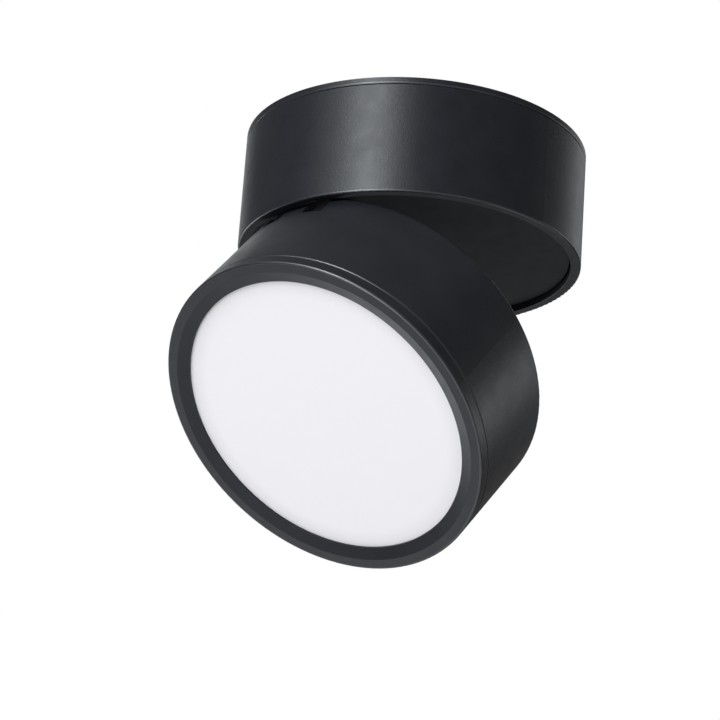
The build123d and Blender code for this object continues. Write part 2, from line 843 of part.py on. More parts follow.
def make_head_shell():
    front = -(head_length - shell_front)
    sink_level = -(board_depth - sink_plate)
    shell = disc(body_radius, front, 0)
    shell = round_edges(shell, body_radius, 0, rim_round)
    shell = round_edges(shell, body_radius, front, edge_round)
    shell -= disc(head_inner, front - 1, -head_back)
    for x, y in boss_places():
        shell += disc(boss_diameter / 2, sink_level, -head_back, x, y)
        shell -= disc(small_screw_diameter / 2, sink_level - 1, -head_back - blind_floor, x, y)
    for side in (-1, 1):
        inner, outer = sorted((side * cheek_inner, side * cheek_outer))
        shell += block(inner, outer, -head_inner - cheek_root, pivot_y + cheek_eye_radius,
                       -pivot_depth, -head_back / 2)
        shell += cross_bar(cheek_eye_radius, inner, outer, pivot_y, -pivot_depth)
        shell -= notch(side)
    shell -= block(-cheek_inner, cheek_inner, -head_inner + lead_pocket_wall, lead_pocket_edge,
                   -head_back - lead_pocket_skin, 1)
    shell -= edge_chamfer()
    shell -= block(-cheek_outer, cheek_outer, -body_radius - 1, -head_inner + tab_root, -tab_drop, 1)
    reach = cheek_outer + 1
    return shell - cross_bar(pin_diameter / 2 + bearing_gap, -reach, reach, pivot_y, -pivot_depth)


def make_hinge_washers():
    washers = []
    for side in (-1, 1):
        near = side * (cheek_outer + washer_play)
        far = side * (cheek_outer + washer_play + hinge_washer_thickness)
        washer = cross_bar(arm_eye_radius, near, far, pivot_y, -pivot_depth)
        washers.append(washer - cross_bar(pin_diameter / 2 + bearing_gap, near - side, far + side,
                                          pivot_y, -pivot_depth))
    return Compound(washers)


def make_heat_sink():
    """A round plate with radial fins and a hub, cut away behind the hinge."""
    outer = head_inner - turning_gap
    plate_back = -(board_depth - sink_plate)
    fin_foot = plate_back - fin_root
    fin_top = -head_back - turning_gap
    sink = disc(outer, -board_depth, plate_back)
    sink += [Rot(0, 0, angle) * block(fin_hub_radius, outer - fin_end_gap, -fin_thickness / 2,
                                      fin_thickness / 2, fin_foot, fin_top)
             for angle in around(fin_count, 180.0 / fin_count)]
    sink += ring(fin_hub_radius + fin_thickness, fin_hub_radius, fin_foot, fin_top)
    for x, y in boss_places():
        sink -= disc(boss_diameter / 2 + turning_gap, plate_back, 1, x, y)
        sink -= disc(small_screw_diameter / 2 + screw_gap, -board_depth - 1, plate_back + 1, x, y)
        sink -= disc(small_screw_head / 2 + screw_gap, -board_depth - 1,
                     -board_depth + screw_seat_depth, x, y)
    sink -= block(-notch_outer - 1, notch_outer + 1, -body_radius, lead_pocket_edge, plate_back, 1)
    for x, y in board_screw_places():
        sink -= disc(small_screw_diameter / 2, -board_depth - 1, plate_back - thread_floor, x, y)
    return sink - lead_space()


def lead_space():
    """Clear way round the lead inside the head."""
    return tube(*head_route(), lead_radius + lead_groove_gap)


def make_heat_sink_screws():
    screw = pan_screw(small_screw_diameter - thread_slack, small_screw_head, sunk_head_height,
                      sink_screw_length)
    seat = -board_depth + screw_seat_depth
    return Compound([Pos(x, y, seat) * Rot(180, 0, 0) * screw for x, y in boss_places()])


def make_led_board():
    board = disc(board_radius, board_front, -board_depth)
    for x, y in board_screw_places():
        board -= disc(small_screw_diameter / 2 + screw_gap, board_front - 1, 0, x, y)
    return board - lead_space()


def make_led_board_screws():
    screw = pan_screw(small_screw_diameter - thread_slack, small_screw_head, small_screw_head_height,
                      board_thickness + sink_plate - screw_end_gap)
    return Compound([Pos(x, y, board_front) * Rot(180, 0, 0) * screw for x, y in board_screw_places()])


def make_led_chips():
    """Rings of chips, each ring with more chips than the one inside it."""
    chips = []
    for step in range(1, led_ring_count + 1):
        radius = step * led_ring_step
        count = step * leds_per_ring_step
        for angle in around(count, 180.0 / count):
            chip = block(radius - led_width / 2, radius + led_width / 2, -led_length / 2, led_length / 2,
                         board_front - led_height, board_front)
            chips.append(Rot(0, 0, angle) * chip)
    return Compound(chips)


def make_lead_in_head():
    return tube(*head_route(), lead_radius)


def make_reflector():
    """A cone from the board out to a flange that presses on the gasket."""
    foot = board_front - face_gap
    foot_radius = board_radius - reflector_foot_inset
    mouth = opening_radius + reflector_mouth_gap
    return turned((foot_radius, foot), (foot_radius + reflector_wall, foot),
                  (mouth + reflector_wall, flange_back), (seat_radius, flange_back),
                  (seat_radius, gasket_back), (mouth, gasket_back))


def make_diffuser_gasket():
    return ring(seat_radius, seat_radius - gasket_width, diffuser_back, gasket_back)


def make_diffuser():
    return disc(seat_radius, diffuser_front, diffuser_back)


def make_bezel_ring():
    band_back = -(head_length - bezel_band)
    front = -head_length
    face_inner = body_radius - bezel_face_width
    seat = diffuser_front - face_gap
    spigot_back = band_back + bezel_spigot_length
    bezel = turned((body_radius, band_back), (body_radius, front), (face_inner, front),
                   (opening_radius, front + bezel_cone_depth), (opening_radius, seat), (spigot_inner, seat),
                   (spigot_inner, spigot_back), (spigot_outer, spigot_back), (spigot_outer, band_back))
    bezel = round_edges(bezel, body_radius, band_back, seam_round)
    return round_edges(bezel, body_radius, front, edge_round)


base_pieces = {
    "ceiling_plate": make_ceiling_plate,
    "cable_grommet": make_cable_grommet,
    "base_shell": make_base_shell,
    "lock_screw": make_lock_screw,
    "terminal_block": make_terminal_block,
    "terminal_screws": make_terminal_screws,
    "base_screws": make_base_screws,
    "driver_case": make_driver_case,
    "driver_lid": make_driver_lid,
    "driver_board": make_driver_board,
    "driver_transformer": make_driver_transformer,
    "driver_capacitors": make_driver_capacitors,
    "mains_leads": make_mains_leads,
    "earth_lead": make_earth_lead,
    "earth_screw": make_earth_screw,
    "lead_in_base": make_lead_in_base,
}

swivel_pieces = {
    "turntable": make_turntable,
    "swivel_stem": make_swivel_stem,
    "glide_ring": make_glide_ring,
    "friction_washer": make_friction_washer,
    "stop_plate": make_stop_plate,
    "disc_spring": make_disc_spring,
    "stem_nut": make_stem_nut,
    "hinge_bracket": make_hinge_bracket,
    "bracket_screws": make_bracket_screws,
    "hinge_pins": make_hinge_pins,
    "lead_in_swivel": make_lead_in_swivel,
}

head_pieces = {
    "head_shell": make_head_shell,
    "hinge_washers": make_hinge_washers,
    "heat_sink": make_heat_sink,
    "heat_sink_screws": make_heat_sink_screws,
    "led_board": make_led_board,
    "led_board_screws": make_led_board_screws,
    "led_chips": make_led_chips,
    "lead_in_head": make_lead_in_head,
    "reflector": make_reflector,
    "diffuser_gasket": make_diffuser_gasket,
    "diffuser": make_diffuser,
    "bezel_ring": make_bezel_ring,
}

os.makedirs("parts", exist_ok=True)
for name, make in (base_pieces | swivel_pieces).items():
    export_step(make(), f"parts/{name}.step")
for name, make in head_pieces.items():
    export_step(tilted(make()), f"parts/{name}.step")

blocked = degrees(asin((stop_arm_width + stop_post_diameter) / 2 / stop_radius))
print(f"swivel is free to {180 - blocked:.1f} degrees each way")
print(f"hinge axis at y {pivot_y:.3f}, z {pivot_z:.3f}; closed at {-rest_tilt}, upright at {90 - rest_tilt}")
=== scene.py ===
"""Finishes, camera and studio for a surface mounted ceiling spotlight."""
import math

import bpy
from mathutils import Matrix, Vector


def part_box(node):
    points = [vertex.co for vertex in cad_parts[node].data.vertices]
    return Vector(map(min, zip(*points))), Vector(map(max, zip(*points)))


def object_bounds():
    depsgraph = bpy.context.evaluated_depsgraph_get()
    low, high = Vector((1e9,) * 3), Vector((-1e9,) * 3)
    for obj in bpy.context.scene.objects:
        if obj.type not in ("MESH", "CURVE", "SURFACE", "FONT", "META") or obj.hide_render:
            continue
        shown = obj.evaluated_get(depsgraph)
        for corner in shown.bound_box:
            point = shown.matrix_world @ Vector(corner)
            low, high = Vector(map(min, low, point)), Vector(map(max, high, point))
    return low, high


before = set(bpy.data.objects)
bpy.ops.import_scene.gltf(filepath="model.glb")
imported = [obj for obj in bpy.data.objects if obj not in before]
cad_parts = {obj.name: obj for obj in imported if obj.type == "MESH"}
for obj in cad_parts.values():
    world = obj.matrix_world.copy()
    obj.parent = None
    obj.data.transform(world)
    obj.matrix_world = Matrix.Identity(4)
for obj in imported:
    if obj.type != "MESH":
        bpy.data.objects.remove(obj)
cad_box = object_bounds()

bl_info = {
    "name": "Ceiling Spotlight Finishes",
    "version": (1, 0, 0),
    "blender": (4, 5, 0),
    "location": "3D View > Sidebar > Spotlight",
    "description": "Finishes, camera and studio for a surface mounted ceiling spotlight",
    "category": "Object",
}

MM = 0.001

# The head hangs from the hinge and is tilted up at rest, so patterns that follow its own axis
# are turned back by this angle. The swivel and the base keep the frame's axes.
HEAD_TILT = math.radians(40.5)
HINGE = Vector((0, -46.15 * MM, -39.76 * MM))

# Where the outer edges of the turned pieces lie, along each piece's own axis from the ceiling, with
# the head hanging straight down.
BODY_RADIUS = 50 * MM
EDGE_ROUND = 0.6 * MM
PLATE_EDGE = -2 * MM
BASE_EDGE = -35 * MM
HEAD_EDGE = -67.88 * MM
BEZEL_EDGE = -71.5 * MM
DIFFUSER_RADIUS = 43.5 * MM
# Width of the ring of painted shade on the diffuser beside the bezel.
OPAL_PAINTED_SHADE_WIDTH = 6 * MM

# The thinner coat on a rounded edge, how much the patterns change a colour or a surface, and how much the
# painted shade darkens the diffuser beside the bezel.
EDGE_LEVEL = 1.0
EDGE_ROUGHNESS = 0.35
COAT_SPREAD = 0.3
COAT_RELIEF = 0.08
OPAL_PAINTED_SHADE = -0.09

# Where one piece changes its finish: between the brown and the blue lead, at the ring tag of the earth
# lead, at the winding of the transformer, and at the top of a capacitor's can.
BETWEEN_MAINS_LEADS = -3.4 * MM
EARTH_TAG_TOP = -27.05 * MM
EARTH_TAG_SIDE = 25.7 * MM
EARTH_STRIPE = 5.6 * MM
WINDING_RADIUS = 4.05 * MM
FACING_UP = 0.9


def linear(hex_colour):
    """An sRGB hex colour as linear red, green, blue and alpha."""
    channels = [int(hex_colour[start:start + 2], 16) / 255 for start in (1, 3, 5)]
    curve = [c / 12.92 if c <= 0.04045 else ((c + 0.055) / 1.055) ** 2.4 for c in channels]
    return (*curve, 1.0)


def colour_of(value):
    """A hex colour, or the colour held by a setting, as linear red, green, blue and alpha."""
    return linear(value) if isinstance(value, str) else (*value, 1.0)


def lighter(value, share):
    """A setting's colour, lighter by a share of itself, or darker where the share is negative."""
    return [channel * (1 + share) for channel in value]


def add_node(material, kind, settings=None, values=None, links=None):
    """Add a node with its settings, its input values and the outputs that feed it."""
    node = material.node_tree.nodes.new(kind)
    for name, value in (settings or {}).items():
        setattr(node, name, value)
    for name, value in (values or {}).items():
        node.inputs[name].default_value = value
    for name, source in (links or {}).items():
        material.node_tree.links.new(source, node.inputs[name])
    return node


def new_material(name, **values):
    """A material whose even values are set on its shader. Gives it, the shader and coordinates in metres."""
    material = bpy.data.materials.new(name)
    material.use_nodes = True
    shader = material.node_tree.nodes["Principled BSDF"]
    for socket, value in values.items():
        shader.inputs[socket.replace("_", " ")].default_value = value
    place = add_node(material, "ShaderNodeTexCoord").outputs["Object"]
    return material, shader, place


def grains(material, place, size, detail=2.0, roughness=0.5):
    """An uneven pattern whose grains are about one size across, in metres."""
    return add_node(material, "ShaderNodeTexNoise", values={"Scale": 1 / size, "Detail": detail,
                    "Roughness": roughness}, links={"Vector": place}).outputs["Fac"]


def stretch(material, place, scale):
    """Coordinates scaled along the axes."""
    return add_node(material, "ShaderNodeMapping", values={"Scale": scale},
                    links={"Vector": place}).outputs["Vector"]


def from_middle(material, place, name):
    """Coordinates from the middle of a CAD node."""
    low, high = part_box(name)
    return add_node(material, "ShaderNodeVectorMath", {"operation": "SUBTRACT"},
                    {1: (Vector(low) + Vector(high)) / 2}, {0: place}).outputs["Vector"]


def straightened(material, place):
    """Coordinates of the head as if it hung straight down, its axis on the frame's Z axis."""
    shift = HINGE - Matrix.Rotation(HEAD_TILT, 3, "X") @ HINGE
    return add_node(material, "ShaderNodeMapping", values={"Rotation": (HEAD_TILT, 0, 0), "Location": shift},
                    links={"Vector": place}).outputs["Vector"]


def relief(material, shader, height, depth, under=None):
    """A bump of a real depth in metres, laid over another bump if there is one."""
    links = {"Height": height}
    if under:
        links["Normal"] = under
    bump = add_node(material, "ShaderNodeBump", values={"Strength": 1.0, "Distance": depth}, links=links)
    material.node_tree.links.new(bump.outputs["Normal"], shader.inputs["Normal"])
    return bump.outputs["Normal"]


def vary(material, shader, socket, pattern, low, high):
    """Spread one number of the shader over a range, by a pattern from 0.3 to 0.7."""
    spread = add_node(material, "ShaderNodeMapRange", values={"From Min": 0.3, "From Max": 0.7,
                      "To Min": low, "To Max": high}, links={"Value": pattern})
    material.node_tree.links.new(spread.outputs["Result"], shader.inputs[socket])


def tint(material, shader, pattern, first, second, low=0.35, high=0.65):
    """Blend two colours by a pattern. Gives the colour."""
    ramp = add_node(material, "ShaderNodeValToRGB", links={"Fac": pattern})
    ramp.color_ramp.elements[0].position = low
    ramp.color_ramp.elements[0].color = colour_of(first)
    ramp.color_ramp.elements[1].position = high
    ramp.color_ramp.elements[1].color = colour_of(second)
    material.node_tree.links.new(ramp.outputs["Color"], shader.inputs["Base Color"])
    return ramp.outputs["Color"]


def dress(material, *names):
    """Give CAD nodes a finish."""
    for name in names:
        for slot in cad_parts[name].material_slots:
            slot.material = material


def thin_edge(material, shader, place, on_head, edge):
    """Powder draws back from a rounded edge, which leaves it thinner, smoother and brighter.
    The edge's normal comes from its real round, which is even where the faces of the mesh are not."""
    own = straightened(material, place) if on_head else place
    outward = stretch(material, own, (1.0, 1.0, 0.0))
    radius = add_node(material, "ShaderNodeVectorMath", {"operation": "LENGTH"},
                      links={0: outward}).outputs["Value"]
    outer = add_node(material, "ShaderNodeMath", {"operation": "GREATER_THAN"},
                     {1: BODY_RADIUS - EDGE_ROUND}, {0: radius}).outputs["Value"]
    along = add_node(material, "ShaderNodeSeparateXYZ", links={"Vector": own}).outputs["Z"]
    close = add_node(material, "ShaderNodeMath", {"operation": "COMPARE"}, {1: edge, 2: EDGE_ROUND},
                     {0: along}).outputs["Value"]
    thin = add_node(material, "ShaderNodeMath", {"operation": "MULTIPLY"},
                    links={0: outer, 1: close}).outputs["Value"]
    share = add_node(material, "ShaderNodeMath", {"operation": "DIVIDE"}, {0: BODY_RADIUS - EDGE_ROUND},
                     {1: radius}).outputs["Value"]
    past = add_node(material, "ShaderNodeMath", {"operation": "SUBTRACT"}, {0: 1.0},
                    {1: share}).outputs["Value"]
    across = add_node(material, "ShaderNodeVectorMath", {"operation": "SCALE"},
                      links={0: outward, "Scale": past}).outputs["Vector"]
    down = add_node(material, "ShaderNodeVectorMath", {"operation": "MULTIPLY_ADD"},
                    {1: (0.0, 0.0, 1.0), 2: (0.0, 0.0, -edge - EDGE_ROUND)}, {0: own}).outputs["Vector"]
    normal = add_node(material, "ShaderNodeVectorMath", {"operation": "ADD"},
                      links={0: across, 1: down}).outputs["Vector"]
    if on_head:
        normal = add_node(material, "ShaderNodeMapping", {"vector_type": "VECTOR"},
                          {"Rotation": (-HEAD_TILT, 0, 0)}, {"Vector": normal}).outputs["Vector"]
    normal = add_node(material, "ShaderNodeVectorTransform",
                      {"vector_type": "NORMAL", "convert_from": "OBJECT", "convert_to": "WORLD"},
                      links={"Vector": normal}).outputs["Vector"]
    for socket, inside in (("Specular IOR Level", EDGE_LEVEL), ("Roughness", EDGE_ROUGHNESS)):
        target = shader.inputs[socket]
        mix = add_node(material, "ShaderNodeMapRange",
                       values={"To Min": target.default_value, "To Max": inside}, links={"Value": thin})
        if target.is_linked:
            material.node_tree.links.new(target.links[0].from_socket, mix.inputs["To Min"])
        material.node_tree.links.new(mix.outputs["Result"], target)
    grain = shader.inputs["Normal"].links[0].from_socket
    chosen = add_node(material, "ShaderNodeMix", {"data_type": "VECTOR"},
                      links={0: thin, 4: grain, 5: normal})
    material.node_tree.links.new(chosen.outputs[1], shader.inputs["Normal"])


# ---- coats ----
def powder_coat(name, colour, roughness, level, grain, depth):
    """Powder coat: an even, fine grain over a slow orange peel, satin to matt."""
    material, shader, place = new_material(name, Roughness=roughness, Specular_IOR_Level=level, IOR=1.5)
    tint(material, shader, grains(material, place, 9 * MM, 3.0), colour, lighter(colour, COAT_SPREAD))
    vary(material, shader, "Roughness", grains(material, place, 5 * MM), roughness - 0.03, roughness + 0.03)
    slow = relief(material, shader, grains(material, place, 2.2 * MM, 1.0), 0.0012 * MM)
    relief(material, shader, grains(material, place, grain, 2.0, 0.6), depth, slow)
    return material, shader, place


def satin_coat(finish, name, edge, on_head=False, level=0.375):
    """Baked powder over fine blasting: a soft highlight along the wall with a fine even speckle.
    The real grain is about 0.1 mm and is drawn at 0.5 mm so that it shows."""
    material, shader, place = powder_coat(name, finish.coat_colour, finish.coat_roughness, level,
                                          finish.coat_grain, COAT_RELIEF * finish.coat_grain)
    thin_edge(material, shader, place, on_head, edge)
    return material


def matt_coat(finish):
    """Matt powder: almost no highlight, so that the plate reads as a dark flat disc."""
    return powder_coat("matt_powder_coat_on_turntable", finish.turntable_colour, 0.6, 0.25,
                       0.5 * MM, 0.02 * MM)[0]


def matt_paint_and_painted_shade(finish):
    """Deep matt paint on folded steel, darker than the coats as painted shade, so that the hinge arms read as
    the shade of their pockets.
    """
    return powder_coat("deep_matt_paint_and_painted_shade_on_folded_steel", finish.bracket_painted_shade_colour, 0.7, 0.15,
                       0.4 * MM, 0.01 * MM)[0]


# ---- metals ----
def black_oxide_steel():
    """Hot black oxide on machined steel: dark metal with a faint brown-blue bloom."""
    material, shader, place = new_material("black_oxide_on_machined_steel", Metallic=1.0)
    tint(material, shader, grains(material, place, 1.2 * MM, 3.0), "#2a2b2e", "#37342f")
    vary(material, shader, "Roughness", grains(material, place, 0.6 * MM), 0.36, 0.5)
    relief(material, shader, grains(material, place, 0.15 * MM), 0.002 * MM)
    return material


def zinc_plated_steel():
    """Bright zinc plate over machining: pale metal with a slight blue and straw bloom."""
    material, shader, place = new_material("bright_zinc_plate_on_machined_steel", Metallic=1.0)
    tint(material, shader, grains(material, place, 2.5 * MM, 3.0), "#b7bdc4", "#c9c4b4")
    vary(material, shader, "Roughness", grains(material, place, 0.8 * MM), 0.24, 0.36)
    lathe = stretch(material, place, (1.0, 1.0, 12.0))
    relief(material, shader, grains(material, lathe, 0.5 * MM), 0.003 * MM)
    return material


def rolled_spring_steel():
    """Cold rolled spring steel: straight faint roll lines and a grey oil film."""
    material, shader, place = new_material("cold_rolled_spring_steel", Metallic=1.0)
    lines = grains(material, stretch(material, place, (1.0, 30.0, 30.0)), 2.0 * MM, 3.0)
    tint(material, shader, lines, "#85878a", "#96989c")
    vary(material, shader, "Roughness", lines, 0.26, 0.4)
    relief(material, shader, lines, 0.002 * MM)
    return material


def cast_aluminium():
    """Die cast aluminium, as it leaves the tool: dull, with soft flow marks and a fine skin."""
    material, shader, place = new_material("die_cast_aluminium_as_cast", Metallic=1.0)
    tint(material, shader, grains(material, place, 7 * MM, 4.0), "#a9abad", "#bcbec0")
    vary(material, shader, "Roughness", grains(material, place, 3 * MM), 0.42, 0.56)
    slow = relief(material, shader, grains(material, place, 2 * MM), 0.01 * MM)
    relief(material, shader, grains(material, place, 0.3 * MM), 0.006 * MM, slow)
    return material


def turned_brass():
    """Free-cutting brass from a bar lathe: yellow metal with fine turning rings."""
    material, shader, place = new_material("turned_brass", Metallic=1.0)
    rings = grains(material, stretch(material, place, (1.0, 1.0, 14.0)), 0.6 * MM)
    tint(material, shader, rings, "#c7a45c", "#d6b56c")
    vary(material, shader, "Roughness", rings, 0.22, 0.34)
    relief(material, shader, rings, 0.003 * MM)
    return material


# ---- plastics and rubbers ----
def moulded(name, dark, light, roughness, grain, depth, **values):
    """A moulded skin: nearly even colour with the grain of the spark-eroded mould."""
    material, shader, place = new_material(name, **values)
    tint(material, shader, grains(material, place, 8 * MM, 2.0), dark, light)
    vary(material, shader, "Roughness", grains(material, place, 4 * MM), roughness - 0.04, roughness + 0.04)
    relief(material, shader, grains(material, place, grain, 2.0), depth)
    return material


def opal_acrylic(finish):
    """Opal acrylic sheet with a fine matt face: milky and even, with light spread just under the skin.
    Its colour is painted greyer in a ring beside the bezel, as painted shade where the bezel's lip shades the
    sheet."""
    material, shader, place = new_material(
        "opal_acrylic_sheet_fine_matt", IOR=1.49, Subsurface_Weight=0.25, Subsurface_Scale=1.0,
        Subsurface_Radius=(2 * MM, 2 * MM, 2.2 * MM))
    from_axis = add_node(material, "ShaderNodeVectorMath", {"operation": "LENGTH"},
                         links={0: stretch(material, straightened(material, place), (1.0, 1.0, 0.0))})
    # Painted shade: the colour darkens towards the rim of the sheet, where the bezel's lip shades it.
    painted_shade_ring = add_node(material, "ShaderNodeMapRange", {"interpolation_type": "SMOOTHSTEP"},
                      {"From Min": DIFFUSER_RADIUS - OPAL_PAINTED_SHADE_WIDTH, "From Max": DIFFUSER_RADIUS},
                      {"Value": from_axis.outputs["Value"]})
    tint(material, shader, painted_shade_ring.outputs["Result"], finish.diffuser_colour,
         lighter(finish.diffuser_colour, OPAL_PAINTED_SHADE), 0.0, 1.0)
    vary(material, shader, "Roughness", grains(material, place, 4 * MM), 0.38, 0.46)
    relief(material, shader, grains(material, place, 0.5 * MM, 2.0), 0.002 * MM)
    return material


def white_polycarbonate():
    """Glossy white polycarbonate, moulded against a polished tool to throw light forward."""
    return moulded("white_polycarbonate_polished_mould", "#e9e9e6", "#efefec", 0.25, 1.2 * MM, 0.002 * MM,
                   IOR=1.58)


def acetal():
    """Natural acetal, cut from sheet: waxy off-white."""
    return moulded("natural_acetal_cut_sheet", "#dedbd2", "#e5e2da", 0.38, 0.25 * MM, 0.003 * MM,
                   IOR=1.48, Subsurface_Weight=0.15, Subsurface_Radius=(1 * MM, 1 * MM, 1 * MM),
                   Subsurface_Scale=1.0)


def black_rubber():
    """Moulded black rubber: dull, with a faint grey bloom."""
    return moulded("moulded_black_rubber", "#161616", "#1f1f1e", 0.72, 0.3 * MM, 0.006 * MM, IOR=1.52)


def clear_silicone():
    """Extruded silicone cord: milky and soft."""
    return moulded("extruded_clear_silicone", "#cfcfcb", "#d9d9d5", 0.45, 0.6 * MM, 0.004 * MM,
                   IOR=1.41, Transmission_Weight=0.3)


def terminal_polyamide():
    """Moulded polyamide: warm white with a fine mould grain."""
    return moulded("moulded_polyamide", "#d8d5cb", "#dfdcd3", 0.46, 0.25 * MM, 0.006 * MM, IOR=1.53)


def driver_polycarbonate():
    """Moulded polycarbonate with a coarse mould grain, as driver cases have."""
    return moulded("grained_polycarbonate", "#d3d3d1", "#dadad8", 0.5, 0.5 * MM, 0.015 * MM, IOR=1.58)


def silicone_sleeve():
    """Extruded silicone sleeve: matt white with faint lines along the wire."""
    return moulded("extruded_white_silicone_sleeve", "#d6d5d0", "#dfded9", 0.55, 0.4 * MM, 0.004 * MM,
                   IOR=1.41)


def black_silicone_sleeve():
    """Extruded black silicone sleeve: matt and dark, so that it is lost between the hinge arms."""
    return moulded("extruded_black_silicone_sleeve", "#151516", "#1b1b1c", 0.6, 0.4 * MM, 0.004 * MM,
                   IOR=1.41)


def mains_insulation():
    """Extruded insulation, brown on the one lead and blue on the other, by the side that it lies on."""
    material, shader, place = new_material("extruded_wire_insulation", IOR=1.53)
    across = add_node(material, "ShaderNodeSeparateXYZ", links={"Vector": place}).outputs["X"]
    side = add_node(material, "ShaderNodeMath", {"operation": "GREATER_THAN"}, {1: BETWEEN_MAINS_LEADS},
                    {0: across}).outputs["Value"]
    tint(material, shader, side, "#5a3018", "#1d4f96", 0.4, 0.6)
    vary(material, shader, "Roughness", grains(material, place, 2 * MM), 0.32, 0.42)
    relief(material, shader, grains(material, place, 0.5 * MM), 0.004 * MM)
    return material


def earth_insulation():
    """Two-colour extrusion: green with a yellow stripe along the wire, tin plate at the ring tag."""
    material, shader, place = new_material("green_and_yellow_wire_insulation", IOR=1.53)
    axes = add_node(material, "ShaderNodeSeparateXYZ", links={"Vector": place}).outputs
    wave = add_node(material, "ShaderNodeTexWave", {"bands_direction": "Y"},
                    {"Scale": 1 / EARTH_STRIPE, "Distortion": 0.0}, {"Vector": place}).outputs["Fac"]
    stripe = tint(material, shader, wave, "#1e7a3a", "#d6c62a", 0.48, 0.52)
    low = add_node(material, "ShaderNodeMath", {"operation": "LESS_THAN"}, {1: EARTH_TAG_TOP},
                   {0: axes["Z"]}).outputs["Value"]
    outer = add_node(material, "ShaderNodeMath", {"operation": "GREATER_THAN"}, {1: EARTH_TAG_SIDE},
                     {0: axes["X"]}).outputs["Value"]
    tag = add_node(material, "ShaderNodeMath", {"operation": "MULTIPLY"},
                   links={0: low, 1: outer}).outputs["Value"]
    mix = add_node(material, "ShaderNodeMix", {"data_type": "RGBA"}, {"B": linear("#b9babb")},
                   {"Factor": tag, "A": stripe})
    material.node_tree.links.new(mix.outputs["Result"], shader.inputs["Base Color"])
    material.node_tree.links.new(tag, shader.inputs["Metallic"])
    vary(material, shader, "Roughness", grains(material, place, 2 * MM), 0.3, 0.4)
    relief(material, shader, grains(material, place, 0.5 * MM), 0.004 * MM)
    return material


# ---- electrical parts ----
def white_solder_mask():
    """White solder mask on an aluminium board: a thin glossy paint over copper tracks."""
    material, shader, place = new_material("white_solder_mask_on_aluminium_board", IOR=1.5)
    own = straightened(material, place)
    rings = add_node(material, "ShaderNodeTexWave", {"wave_type": "RINGS", "rings_direction": "Z"},
                     {"Scale": 1 / (18 * MM), "Distortion": 0.0}, {"Vector": own}).outputs["Fac"]
    tint(material, shader, rings, "#e3e3df", "#ebebe7", 0.45, 0.55)
    vary(material, shader, "Roughness", grains(material, place, 3 * MM), 0.26, 0.36)
    relief(material, shader, rings, 0.02 * MM)
    return material


def phosphor_in_resin():
    """Yellow phosphor under clear resin: slightly grainy and glossy."""
    material, shader, place = new_material("yellow_phosphor_in_clear_resin", IOR=1.54, Coat_Weight=0.6)
    tint(material, shader, grains(material, place, 0.2 * MM), "#e3b23a", "#efc552")
    vary(material, shader, "Roughness", grains(material, place, 0.5 * MM), 0.3, 0.45)
    relief(material, shader, grains(material, place, 0.15 * MM), 0.01 * MM)
    return material


def green_circuit_board():
    """Green solder mask on glass laminate: the copper tracks lift it in straight runs."""
    material, shader, place = new_material("green_solder_mask_on_glass_laminate", IOR=1.52)
    cells = add_node(material, "ShaderNodeTexVoronoi", {"distance": "MANHATTAN", "feature": "F1"},
                     {"Scale": 1 / (3.2 * MM), "Randomness": 0.8}, {"Vector": place}).outputs["Distance"]
    tint(material, shader, cells, "#0d4f26", "#157037", 0.42, 0.46)
    vary(material, shader, "Roughness", grains(material, place, 2 * MM), 0.24, 0.34)
    relief(material, shader, cells, 0.03 * MM)
    return material


def transformer_tape_and_ferrite():
    """Grey sintered ferrite, with yellow polyester tape on the winding in its window."""
    material, shader, place = new_material("ferrite_core_and_polyester_tape", IOR=1.6)
    from_axis = stretch(material, from_middle(material, place, "driver_transformer"), (0.0, 1.0, 1.0))
    gap = add_node(material, "ShaderNodeVectorMath", {"operation": "LENGTH"},
                   links={0: from_axis}).outputs["Value"]
    wound = add_node(material, "ShaderNodeMath", {"operation": "LESS_THAN"}, {1: WINDING_RADIUS},
                     {0: gap}).outputs["Value"]
    tint(material, shader, wound, "#3a3b3d", "#d9a61c", 0.4, 0.6)
    vary(material, shader, "Roughness", grains(material, place, 1 * MM), 0.3, 0.55)
    relief(material, shader, grains(material, place, 0.3 * MM), 0.008 * MM)
    return material


def capacitor_sleeve_and_can():
    """Heat-shrunk sleeve round an aluminium can, whose bare top shows."""
    material, shader, place = new_material("shrunk_sleeve_on_aluminium_can", IOR=1.5)
    facing = add_node(material, "ShaderNodeTexCoord").outputs["Normal"]
    upward = add_node(material, "ShaderNodeSeparateXYZ", links={"Vector": facing}).outputs["Z"]
    top = add_node(material, "ShaderNodeMath", {"operation": "GREATER_THAN"}, {1: FACING_UP},
                   {0: upward}).outputs["Value"]
    tint(material, shader, top, "#14162a", "#b7b9bb", 0.4, 0.6)
    material.node_tree.links.new(top, shader.inputs["Metallic"])
    vary(material, shader, "Roughness", grains(material, place, 2 * MM), 0.24, 0.36)
    relief(material, shader, grains(material, place, 0.8 * MM), 0.01 * MM)
    return material


# ---- stage ----
def seen_directly(owner):
    """1 where the camera sees a background, also in metal or through glass, and 0 where it only lights."""
    ray = add_node(owner, "ShaderNodeLightPath").outputs
    seen = add_node(owner, "ShaderNodeMath", {"operation": "ADD"},
                    links={0: ray["Is Camera Ray"], 1: ray["Is Glossy Ray"]}).outputs["Value"]
    return add_node(owner, "ShaderNodeMath", {"operation": "ADD", "use_clamp": True},
                    links={0: seen, 1: ray["Is Transmission Ray"]}).outputs["Value"]


